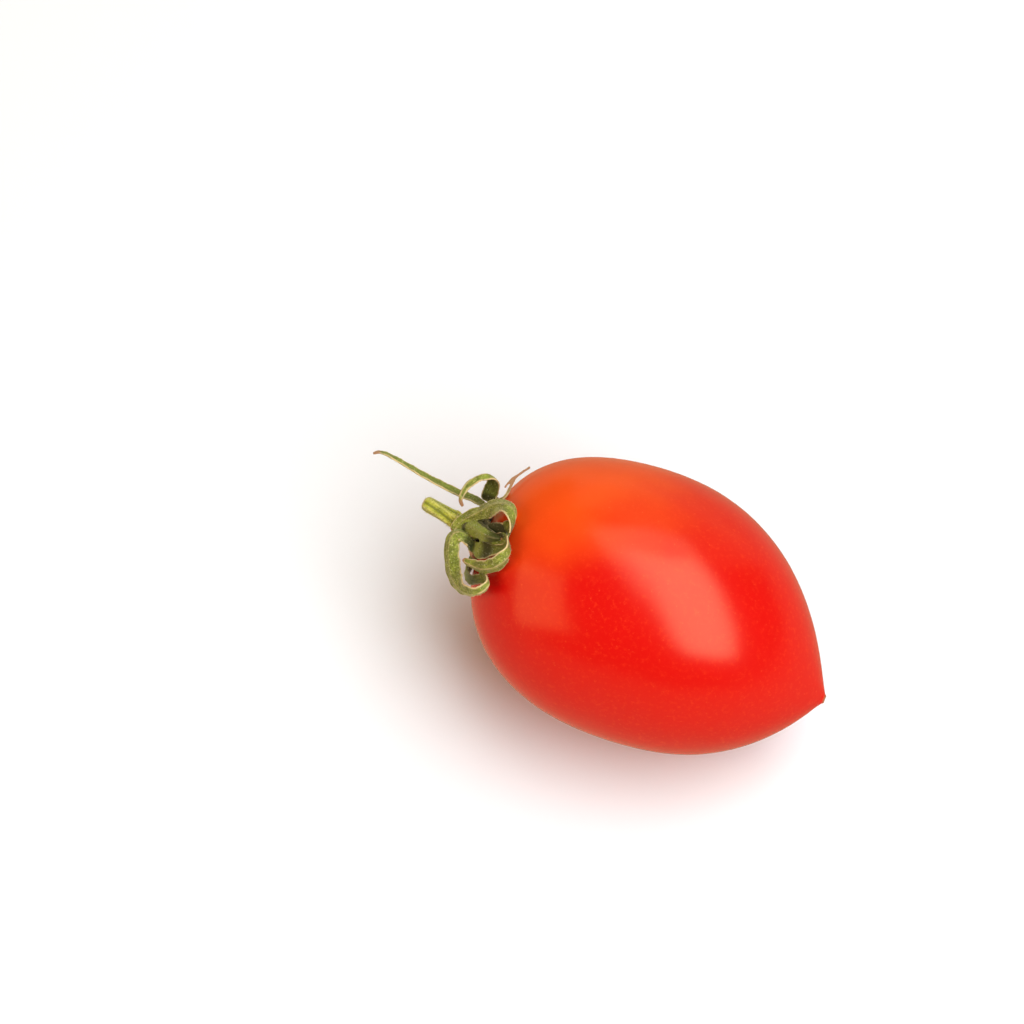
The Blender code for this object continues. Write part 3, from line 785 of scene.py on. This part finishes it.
def stalk_material(settings):
    """Fresh stem: yellow-green with lengthwise lines, and a dry pale cut end."""
    s, at, cloud, fine = downy_shader("stalk_green")
    ridge, cut = s.attribute("ridge"), s.attribute("cut")
    fibres = s.fibres(s.attribute("around") * 7.0, s.attribute("along") * 0.3, 1.5)
    colour = s.mix((cloud + fibres * 0.4 - 0.2).between(0.3, 0.7), STALK_DARK,
                   tuple(settings.green))
    colour = s.mix(ridge.between(0.4, 0.0) * 0.75, colour, STALK_FURROW)
    colour = s.mix(ridge.between(0.6, 1.0) * 0.5, colour, STALK_RIDGE)
    colour = s.mix(fine.between(0.53, 0.33) * 0.7, colour, STALK_SPECK)
    flecks = s.flecks(at, 2.0, (0.1, 0.3), fine, (0.42, 0.55))
    colour = s.mix(flecks * 0.5, colour, STALK_FLECK)
    colour = s.mix(s.attribute("knee") * 0.55, colour, KNEE_BROWN)
    colour = s.mix(cut.between(0.1, 0.5), colour, tuple(settings.pith))
    colour = s.mix(cut.between(0.75, 1.0) * (fine + 0.4).clamped(), colour, PITH_DRY)
    s.bump(fibres + fine * 0.5 + s.spots(at, 2.6).between(0.0, 0.45) * 0.4, 0.5, 0.12)
    return s.finish(colour, 0.5 + (fine - 0.5) * 0.15 + cut * 0.3)


def hair_material():
    """Clear pale hairs."""
    s = Shader("plant_hair", IOR=1.4)
    at = s.places()
    colour = s.mix(s.noise(at, 0.8).between(0.35, 0.65), HAIR_GREEN, HAIR_PALE)
    return s.finish(colour, 0.4 + s.noise(at, 2.0) * 0.1)


def floor_material(settings):
    """Plain pale matt card, hardly mottled."""
    s = Shader("pale_card", Specular_IOR_Level=0.1)
    tone = s.noise(s.places(), 0.02, 2.0)
    pale = tuple(settings.floor)
    colour = s.mix(tone * 0.2, pale, tuple(c * 0.97 for c in pale))
    return s.finish(colour, 0.9 + (tone - 0.5) * 0.04)


# Fruit


def skin_relief(point, radius, angle, settings):
    """Faint dents, and the creases that run out of the dimple, in millimetres."""
    fine = noise.noise(point * FINE_DENT_SCALE + Vector((7, 3, 1)))
    dents = noise.noise(point * DENT_SCALE) + FINE_DENT_SHARE * fine
    near = math.exp(-((radius / FURROW_REACH - 1.0) / FURROW_BAND) ** 2)
    wander = FURROW_WANDER * noise.noise(Vector((math.cos(angle), math.sin(angle), 0)))
    furrows = FURROW_DEPTH * near * (0.5 + 0.5 * math.cos(angle * FURROWS + wander)) ** 2
    return settings.unevenness * dents - furrows


def build_skin(settings):
    """The fine skin, one closed mesh pressed flat where the fruit rests."""
    step = (FRUIT_LENGTH + FRUIT_RADIUS) / settings.rings
    outline = (spaced(stalk_half(), step)[1:] + spaced(point_half(), step)[1:]
               + scar_outline())
    rings, dimpled, scarred, shoulder = [], [], [], []
    slopes = [(b - a).normalized() for a, b in zip(outline, outline[1:])]
    slopes.append(slopes[-1])
    for station, slope in zip(outline, slopes):
        at_stalk = station.x < WIDEST_AT
        ring = []
        for i in range(settings.sides):
            angle = 2 * math.pi * i / settings.sides
            point = skin(station.x, station.y, angle)
            spread = min(station.y / FURROW_REACH, 1.0)
            rise = skin_relief(point, station.y if at_stalk else FRUIT_RADIUS, angle, settings)
            out = Vector((-slope.y, -math.sin(angle) * slope.x, math.cos(angle) * slope.x))
            ring.append(point + out * (rise * spread))
            dimpled.append(math.exp(-((station.y / DIMPLE_TISSUE) ** 2)) if at_stalk else 0.0)
            brown = smoothstep(*SCAR_FADE, station.y / SCAR_RADIUS) * SCAR_BROWN
            middle = smoothstep(*SCAR_CORE, station.y / SCAR_RADIUS) * (1 - SCAR_BROWN)
            scarred.append(0.0 if at_stalk else brown + middle)
            # Painted light: orange on the side that faces up and back, stronger towards the less
            # ripe stalk end
            lit_facing = smoothstep(*LIT_ORANGE_FACING, out.dot(LIT_ORANGE_SIDE))
            to_stalk = smoothstep(ORANGE_END, 0.0, station.x)
            shoulder.append(lit_facing * (ORANGE_AT_POINT + (1 - ORANGE_AT_POINT) * to_stalk))
        rings.append(ring)
    bm = bmesh.new()
    rings_to_mesh(bm, rings, dimple_floor(), skin(FRUIT_LENGTH + SCAR_RISE - SCAR_PIT, 0, 0))
    mesh = mesh_from("fruit_skin", bm)
    press_flat(mesh)
    set_attributes(mesh, dimple=dimpled + [1.0, 0.0], scar=scarred + [0.0, 1.0],
                   shoulder=shoulder + [0.5, 0.0])
    return mesh


def press_flat(mesh):
    """Presses the skin flat where it would go through the floor."""
    down = Matrix.Rotation(math.radians(-TILT), 3, "Y") @ Vector((0, 0, -1))
    for vertex in mesh.vertices:
        below = vertex.co.dot(down) - STALK_END.z
        if below > 0:
            vertex.co -= down * below


# Calyx


def hub_reach(angle):
    """Radius of the web's edge, further out along each sepal."""
    gaps = (math.remainder(angle - math.radians(s["angles"][0]), 2 * math.pi)
            for s in SEPALS.values() if "angles" in s)
    nearest = math.degrees(min(abs(gap) for gap in gaps)) / HUB_POINT_SPREAD
    return HUB_RADIUS + HUB_POINTS * math.exp(-(nearest ** 2))


def build_hub(bm):
    """The star-edged web in the dimple that the sepals grow from."""
    angles = [2 * math.pi * i / HUB_SIDES for i in range(HUB_SIDES)]
    shares = [(i + 1) / HUB_RINGS for i in range(HUB_RINGS)]
    top = SKIN_GAP + HUB_THICKNESS
    rings = [[above_skin(share * hub_reach(angle), angle, height)[0] for angle in angles]
             for row, height in ((shares, SKIN_GAP), (shares[::-1], top)) for share in row]
    out = Vector((-1, 0, 0))
    rings_to_mesh(bm, rings, dimple_floor() + out * SKIN_GAP, dimple_floor() + out * top)


def sepal_line(sepal):
    """Middle line of a sepal, and the direction its upper face looks in along it."""
    places, looks = [], []
    steps = -1
    if "angles" in sepal:
        first, final = sepal["angles"]
        steps = round((sepal["reach"] - SEPAL_START) / SEPAL_HUG_STEP)
    for i in range(steps + 1):
        radius = SEPAL_START + (sepal["reach"] - SEPAL_START) * i / steps
        angle = math.radians(first + (final - first) * i / steps)
        place, out = above_skin(radius, angle, SEPAL_HEIGHT + SEPAL_LIFT * radius)
        places.append(place)
        looks.append(out)
    right, up, toward = view_axes()
    for place, look in sepal["route"]:
        places.append(from_view(*place))
        looks.append((right * look[0] + up * look[1] + toward * look[2]).normalized())
    rows = [Vector((*place, *look)) for place, look in zip(places, looks)]
    rows = spaced(catmull(rows, ROUTE_STEPS), SEPAL_STEP)
    return [Vector(row[:3]) for row in rows], [Vector(row[3:]) for row in rows]


def sepal_frames(sepal, seed):
    """Place, forward, side and face along a sepal, with its half width and fold."""
    line, looks = sepal_line(sepal)
    last = len(line) - 1
    frames = []
    for i, (place, look) in enumerate(zip(line, looks)):
        forward = (line[min(i + 1, last)] - line[max(i - 1, 0)]).normalized()
        face = (look - forward * look.dot(forward)).normalized()
        side = forward.cross(face)
        left = 1 - i / last
        half = (sepal["tip"] + (sepal["width"] - sepal["tip"]) * left ** sepal["fullness"]) / 2
        waist, waist_end = sepal.get("waist", (0.0, 1.0))
        half *= 1 - waist * smoothstep(waist_end, waist_end - WAIST_RAMP, i / last)
        free = smoothstep(*FREE_SPAN, i / last)
        waver = noise.noise(Vector((i * SEPAL_STEP * WIDTH_WAVE_RATE, seed, 0)))
        fold = half * (FOLD_AT_HUB + FOLD_FREE * free) * sepal.get("fold", 1.0)
        frames.append((place, forward, side, face, half * (1 + WIDTH_WAVE * free * waver), fold))
    return frames


def blade_profile(across, half, fold, phase):
    """Heights of the upper and lower surface at a place across the blade."""
    edge = abs(across)
    lift = fold * (edge ** FOLD_CURVE) - fold * MIDRIB_DROP
    ripple = RIPPLE * edge ** 3 * math.sin(phase + (RIPPLE_SHIFT if across < 0 else 0.0))
    midrib = math.exp(-((edge / MIDRIB_SPREAD) ** 2))
    thickness = min(SEPAL_RIM + (SEPAL_MIDDLE - SEPAL_RIM) * midrib, half * 1.1 + 0.1)
    return lift + ripple + thickness / 2, lift + ripple - thickness / 2


def build_sepal(bm, frames):
    """A ribbon folded along its midrib, narrowing to its tip."""
    rings = []
    for i, (place, forward, side, face, half, fold) in enumerate(frames):
        phase = i * SEPAL_STEP * RIPPLE_RATE
        upper, lower = [], []
        for k in range(SEPAL_ROWS):
            across = 2 * k / (SEPAL_ROWS - 1) - 1
            high, low = blade_profile(across, half, fold, phase)
            upper.append(place + side * (half * across) + face * high)
            lower.append(place + side * (half * across) + face * low)
        rings.append(upper + lower[::-1])
    rings_to_mesh(bm, rings)


def fused(name, shapes, grain):
    """One closed mesh of shapes that grow into each other, with soft crotches."""
    bm = bmesh.new()
    for shape in shapes:
        shape(bm)
    rough = mesh_from(name + "_rough", bm)
    holder = new_object(name + "_rough", rough)
    remesh = holder.modifiers.new("fuse", "REMESH")
    remesh.mode = "VOXEL"
    remesh.voxel_size = grain
    smooth = holder.modifiers.new("soften", "SMOOTH")
    smooth.factor = 0.5
    smooth.iterations = 3
    bpy.context.view_layer.update()
    whole = holder.evaluated_get(bpy.context.evaluated_depsgraph_get())
    mesh = bpy.data.meshes.new_from_object(whole)
    mesh.name = name
    bpy.data.objects.remove(holder)
    bpy.data.meshes.remove(rough)
    return mesh


def mesh_arrays(mesh):
    """Points, normals and edges of a mesh as arrays."""
    points = np.empty(len(mesh.vertices) * 3)
    mesh.vertices.foreach_get("co", points)
    normals = np.empty(len(mesh.vertices) * 3)
    mesh.vertices.foreach_get("normal", normals)
    edges = np.empty(len(mesh.edges) * 2, dtype=np.int64)
    mesh.edges.foreach_get("vertices", edges)
    return points.reshape(-1, 3), normals.reshape(-1, 3), edges.reshape(-1, 2)


def neighbour_mean(values, edges):
    """Each point's mean over the points that an edge joins it to."""
    total = np.zeros_like(values)
    count = np.zeros(len(values))
    for a, b in (edges.T, edges.T[::-1]):
        np.add.at(total, a, values[b])
        np.add.at(count, a, 1)
    count = np.maximum(count, 1)
    return total / (count[:, None] if values.ndim > 1 else count)


def edge_sharpness(points, normals, edges):
    """How much each point stands out of its neighbours, softened a little."""
    bulge = -((neighbour_mean(points, edges) - points) * normals).sum(axis=1)
    for _ in range(2):
        bulge = (bulge + neighbour_mean(bulge, edges)) / 2
    return bulge


def openness(point, out, trees):
    """Share of the sky over a point that nothing near it covers."""
    across = out.orthogonal().normalized()
    side = out.cross(across)
    clear = 0
    for i in range(SHELTER_RAYS):
        rise = (i + 0.5) / SHELTER_RAYS
        turn = i * math.pi * (3 - math.sqrt(5))
        flat = math.sqrt(1 - rise * rise)
        ray = out * rise + (across * math.cos(turn) + side * math.sin(turn)) * flat
        clear += all(tree.ray_cast(point, ray, SHELTER_REACH)[0] is None for tree in trees)
    return clear / SHELTER_RAYS


def open_stations(mesh, all_frames):
    """How open the upper and the lower side of every station is, which sets its painted shade."""
    fruit = bpy.data.objects["fruit_skin"]
    to_fruit = resting_pose().inverted()
    skin_tree = BVHTree.FromPolygons([to_fruit @ v.co for v in fruit.data.vertices],
                                     [f.vertices for f in fruit.data.polygons])
    blade_tree = BVHTree.FromPolygons([v.co for v in mesh.vertices],
                                      [f.vertices for f in mesh.polygons])
    trees, spread = (skin_tree, blade_tree), SHELTER_SPREAD
    result = []
    for frames in all_frames:
        raw = [[openness(place + face * height, face * math.copysign(1, height), trees)
                for height in (SHELTER_START - MIDRIB_DROP * min(fold, 0),
                               -SHELTER_START - MIDRIB_DROP * max(fold, 0))]
               for place, _, _, face, _, fold in frames]
        raw = np.array([raw[0]] * spread + raw + [raw[-1]] * spread)
        result.append(np.mean([raw[k:k + len(frames)] for k in range(2 * spread + 1)], axis=0))
    return result


def blade_marks(offset, normal, to_hub, sepal, frames, i, open_sides):
    """The numbers that mark_blades stores, for a point whose nearest station is i."""
    _, forward, side, face, _, _ = frames[i]
    along, across = i * SEPAL_STEP + offset.dot(forward), offset.dot(side)
    to_end = SEPAL_STEP * (len(frames) - 1) - along
    share = i / (len(frames) - 1)
    inside = smoothstep(*INSIDE_FACING, normal.dot(face))
    dry = sepal.get("dry", DRY_LENGTH)
    waist_end = sepal.get("waist", (0, BEND_AT))[1]
    web_end = sepal.get("web", waist_end)
    base = max(smoothstep(web_end + WEB_RAMP, web_end - WEB_RAMP, share),
               smoothstep(*WEB_FADE, to_hub))
    # Painted shade: in the hollow of the bend, along the stretch that the shade key gives, and
    # where the blade is covered
    bend = BEND_PAINTED_SHADE * math.exp(-((share - waist_end) / BEND_REACH) ** 2)
    shade_start, shade_end, shade = sepal.get("shade", (0, 1, 0))
    shade *= smoothstep(shade_start, shade_end, share)
    covered = 1 - open_sides[0] * inside - open_sides[1] * (1 - inside)
    shelter = max(shade, bend * inside, sepal.get("sheltered", 1.0) * covered)
    plain_side, plain_end = sepal.get("plain", (0, 0))
    edged = not (share < plain_end and plain_side * across > 0)
    return along, across, smoothstep(dry, DRY_FULL * dry, to_end), inside, base, shelter, edged


def mark_blades(mesh, sepals, all_frames, grain):
    """Stores where each point lies on its blade, and its painted shade, for the finish to follow.
    """
    open_sides = open_stations(mesh, all_frames)
    tree = KDTree(sum(len(frames) for frames in all_frames))
    keys = [(which, i) for which, frames in enumerate(all_frames) for i in range(len(frames))]
    for index, (which, i) in enumerate(keys):
        tree.insert(all_frames[which][i][0], index)
    tree.balance()
    points, normals, edges = mesh_arrays(mesh)
    hub, rows = dimple_floor(), []
    for point, normal in zip(points, normals):
        which, i = keys[tree.find(point)[1]]
        frames, place = all_frames[which], Vector(point)
        marks = blade_marks(place - frames[i][0], Vector(normal), (place - hub).length,
                            sepals[which], frames, i, open_sides[which][i])
        rows.append((marks[0] + FIBRE_SHIFT * which, *marks[1:]))
    along, across, tip, inside, base, shelter, edged = np.array(rows).T
    sharp = edge_sharpness(points, normals, edges) / grain
    set_attributes(mesh, along=along, across=across, tip=tip, inside=inside, base=base,
                   shelter=shelter, rim=np.clip(sharp * RIM_GAIN, 0, 1) * edged)


def add_hairs(name, mesh, count, length, spread_seed):
    """Short fine hairs that stand out of a mesh, as one mesh of slim cones."""
    draw = random.Random(spread_seed)
    faces = mesh.polygons
    areas = np.cumsum([face.area for face in faces])
    bm = bmesh.new()
    for _ in range(count):
        face = faces[int(np.searchsorted(areas, draw.random() * areas[-1]))]
        tilt = Vector((draw.uniform(-1, 1), draw.uniform(-1, 1), draw.uniform(-1, 1)))
        out = (face.normal + tilt * HAIR_TILT).normalized()
        across = out.orthogonal().normalized()
        side = out.cross(across)
        long = length * draw.uniform(*HAIR_LENGTHS)
        foot = face.center - out * HAIR_ROOT
        ring = [bm.verts.new(foot + (across * math.cos(a) + side * math.sin(a)) * HAIR_RADIUS)
                for a in (0, 2 * math.pi / 3, 4 * math.pi / 3)]
        tip = bm.verts.new(foot + out * long)
        for a, b in zip(ring, ring[1:] + ring[:1]):
            bm.faces.new((a, b, tip))
        bm.faces.new(ring[::-1])
    return mesh_from(name, bm)


# Stalk


def stalk_radius(share):
    for (a, radius_a), (b, radius_b) in zip(STALK_RADII, STALK_RADII[1:]):
        if share <= b:
            break
    return radius_a + (radius_b - radius_a) * smoothstep(a, b, share)


def build_stalk():
    """The stalk with its swollen foot, its ribs, its grooved joint and its sunk cut end."""
    foot = dimple_floor() - Vector((SKIN_GAP + STALK_SEAT, 0, 0))
    places = [foot] + [from_view(*place) for place in STALK_ROUTE]
    line = spaced(catmull(places, ROUTE_STEPS), STALK_STEP)
    last = len(line) - 1
    across = Vector((0, 0, 1))
    rings, rows = [], []
    sections = [(i, 1.0, CUT_DRY * smoothstep(CUT_START, 1.0, i / last))
                for i in range(last + 1)]
    sections += [(last, share, cut) for share, cut in CUT_FACE]
    for i, share, cut in sections:
        place = line[i]
        forward = (line[min(i + 1, last)] - line[max(i - 1, 0)]).normalized()
        across = (across - forward * across.dot(forward)).normalized()
        side = forward.cross(across)
        sunk = smoothstep(*PITH_SLOPE, share) * PITH_DEPTH
        at = i / last
        knee = math.exp(-((at - KNEE_AT) / KNEE_WIDTH) ** 2)
        sway = RIDGE_SWAY[0] * math.sin(at * RIDGE_SWAY[1])
        ring = []
        for k in range(STALK_SIDES):
            angle = 2 * math.pi * k / STALK_SIDES
            sharp = 0.5 + 0.5 * math.cos(STALK_RIDGES * angle + sway)
            grain = noise.noise(Vector((math.cos(angle) * 2, math.sin(angle) * 2, at * 9)))
            relief = STALK_RIDGE_SHARE * (2 * sharp ** 2 - 1) + STALK_GRAIN * grain
            r = (stalk_radius(at) * (1 + relief) - KNEE_GROOVE * knee) * share
            ring.append(place - forward * sunk
                        + across * (r * math.cos(angle)) + side * (r * math.sin(angle)))
            rows.append((angle / (2 * math.pi), i * STALK_STEP, sharp, cut, knee))
        rings.append(ring)
    bm = bmesh.new()
    rings_to_mesh(bm, rings)
    mesh = mesh_from("stalk_stem", bm)
    set_attributes(mesh, **dict(zip(("around", "along", "ridge", "cut", "knee"),
                                    np.array(rows).T)))
    return mesh


# Operators


class TOMATO_OT_fruit(bpy.types.Operator):
    """Makes the fine skin of the fruit"""
    bl_idname = "tomato.fruit"
    bl_label = "Fruit"

    def execute(self, context):
        settings = context.scene.tomato_fruit
        new_piece("fruit_skin", build_skin(settings), skin_material(settings), "fruit")
        return {"FINISHED"}


class TOMATO_OT_calyx(bpy.types.Operator):
    """Makes the star of curled sepals, grown together, with its hairs"""
    bl_idname = "tomato.calyx"
    bl_label = "Calyx"

    def execute(self, context):
        settings = context.scene.tomato_calyx
        all_frames = [sepal_frames(sepal, seed) for seed, sepal in enumerate(SEPALS.values())]
        shapes = [build_hub] + [lambda bm, f=frames: build_sepal(bm, f) for frames in all_frames]
        mesh = fused("sepals", shapes, settings.grain)
        if not len(mesh.polygons):
            raise RuntimeError("the sepals could not be fused")
        mark_blades(mesh, list(SEPALS.values()), all_frames, settings.grain)
        hairs = add_hairs("sepal_hairs", mesh, SEPAL_HAIRS, SEPAL_HAIR_LENGTH, SEPAL_HAIR_SEED)
        new_piece("sepals", mesh, blade_material(settings), "calyx")
        new_piece("sepal_hairs", hairs, hair_material(), "calyx")
        return {"FINISHED"}


class TOMATO_OT_stalk(bpy.types.Operator):
    """Makes the stalk and its hairs"""
    bl_idname = "tomato.stalk"
    bl_label = "Stalk"

    def execute(self, context):
        settings = context.scene.tomato_stalk
        mesh = build_stalk()
        hairs = add_hairs("stalk_hairs", mesh, settings.hairs, settings.hair_length,
                          STALK_HAIR_SEED)
        new_piece("stalk_stem", mesh, stalk_material(settings), "stalk")
        new_piece("stalk_hairs", hairs, hair_material(), "stalk")
        return {"FINISHED"}


def add_camera():
    camera = bpy.data.cameras.new("camera")
    camera.lens = CAMERA_LENS
    camera.sensor_width = CAMERA_SENSOR
    camera.clip_start = CAMERA_NEAR
    holder = new_object("camera", camera)
    right, up, back = looking(CAMERA_AZIMUTH, CAMERA_RISE)
    pose = Matrix((right, up, back)).transposed().to_4x4()
    pose.translation = (CAMERA_AIM * MM + back * CAMERA_DISTANCE + right * CAMERA_SLIDE[0]
                        + up * CAMERA_SLIDE[1])
    holder.matrix_world = pose
    bpy.context.scene.camera = holder


def add_light(name, azimuth, rise, distance, size, turn, power, colour):
    light = bpy.data.lights.new(name, "AREA")
    light.shape = "RECTANGLE"
    light.size, light.size_y = size
    light.energy = power
    light.color = colour
    holder = new_object(name, light)
    right, up, back = looking(azimuth, rise)
    pose = Matrix((right, up, back)).transposed() @ Matrix.Rotation(math.radians(-turn), 3, "Z")
    holder.matrix_world = Matrix.Translation(back * distance) @ pose.to_4x4()
    holder.visible_camera = False


def studio_world():
    """Pale behind the floor, and dim with a warm lower half where the skin mirrors it."""
    world = bpy.data.worlds.new("studio")
    world.use_nodes = True
    nodes = Nodes(world.node_tree)
    direction = nodes.node("ShaderNodeTexCoord")["Generated"]
    height = nodes.node("ShaderNodeSeparateXYZ", {}, {"Vector": direction})["Z"]
    above = nodes.node("ShaderNodeMapRange", {}, {
        "Value": height, "From Min": HORIZON[0], "From Max": HORIZON[1]})["Result"]
    mirrored = nodes.mix(above, WORLD_BELOW, WORLD_ABOVE)
    seen = nodes.node("ShaderNodeLightPath")["Is Camera Ray"]
    nodes.feed(world.node_tree.nodes["Background"].inputs["Color"],
               nodes.mix(seen, mirrored, WORLD_SEEN))
    return world


class TOMATO_OT_stage(bpy.types.Operator):
    """Makes the pale floor, the studio lights and the camera"""
    bl_idname = "tomato.stage"
    bl_label = "Stage"

    def execute(self, context):
        settings = context.scene.tomato_stage
        bm = bmesh.new()
        bmesh.ops.create_circle(bm, cap_ends=True, radius=FLOOR_RADIUS, segments=FLOOR_SIDES)
        floor = new_object("floor", mesh_from("floor", bm))
        floor.data.materials.append(floor_material(settings))
        floor.visible_glossy = False
        for name, (azimuth, rise, distance, size, turn, share, colour) in LIGHTS.items():
            add_light(name, azimuth, rise, distance, size, turn, share * settings.power, colour)
        context.scene.world = studio_world()
        context.scene.view_settings.view_transform = "Standard"
        add_camera()
        return {"FINISHED"}


class TOMATO_PT_panel(bpy.types.Panel):
    """Lists the operators and their settings"""
    bl_idname = "TOMATO_PT_panel"
    bl_label = "Plum tomato"
    bl_space_type = "VIEW_3D"
    bl_region_type = "UI"
    bl_category = "Tomato"

    def draw(self, context):
        for operator in OPERATORS:
            self.layout.operator(operator.bl_idname)
        for name in SETTINGS:
            settings = getattr(context.scene, name)
            for key in settings.__annotations__:
                self.layout.prop(settings, key)


SETTINGS = {
    "tomato_fruit": TomatoFruitSettings,
    "tomato_calyx": TomatoCalyxSettings,
    "tomato_stalk": TomatoStalkSettings,
    "tomato_stage": TomatoStageSettings,
}
OPERATORS = (TOMATO_OT_fruit, TOMATO_OT_calyx, TOMATO_OT_stalk, TOMATO_OT_stage)
CLASSES = (*SETTINGS.values(), *OPERATORS, TOMATO_PT_panel)


def register():
    for cls in CLASSES:
        bpy.utils.register_class(cls)
    for name, cls in SETTINGS.items():
        setattr(bpy.types.Scene, name, PointerProperty(type=cls))


def unregister():
    for name in SETTINGS:
        delattr(bpy.types.Scene, name)
    for cls in reversed(CLASSES):
        bpy.utils.unregister_class(cls)


def main():
    register()
    bpy.ops.tomato.stage()
    bpy.ops.tomato.fruit()
    bpy.ops.tomato.calyx()
    bpy.ops.tomato.stalk()


if __name__ == "__main__":
    main()
